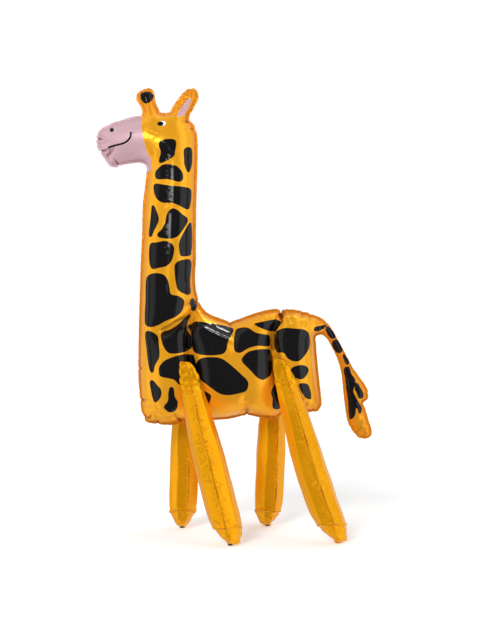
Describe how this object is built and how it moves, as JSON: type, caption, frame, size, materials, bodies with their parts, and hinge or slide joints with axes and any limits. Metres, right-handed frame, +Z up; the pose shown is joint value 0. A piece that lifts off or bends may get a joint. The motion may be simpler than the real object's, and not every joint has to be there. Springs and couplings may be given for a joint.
{
  "type": "giraffe foil balloon",
  "caption": "Standing giraffe balloon of printed foil film: one sealed air-filled body with head, neck and tail, on tube legs; a party and room decoration.",
  "frame": {"origin": "on the floor, under the centre of the object's box", "axes": "+Z up, X along the giraffe with the nose towards -X and the tail towards +X, Y across it with the near flank towards -Y"},
  "size_m": [0.6162, 0.281, 0.9999],
  "materials": {
    "printed_foil_film": "metallised film, warm yellow, printed with glossy black patches and a dusty pink muzzle",
    "leg_foil_film": "metallised film, plain warm yellow, satin gloss"
  },
  "bodies": {
    "root": {"body": "printed_foil_film", "leg_front_near": "leg_foil_film", "leg_front_far": "leg_foil_film", "leg_rear_near": "leg_foil_film", "leg_rear_far": "leg_foil_film"}
  },
  "joints": []
}
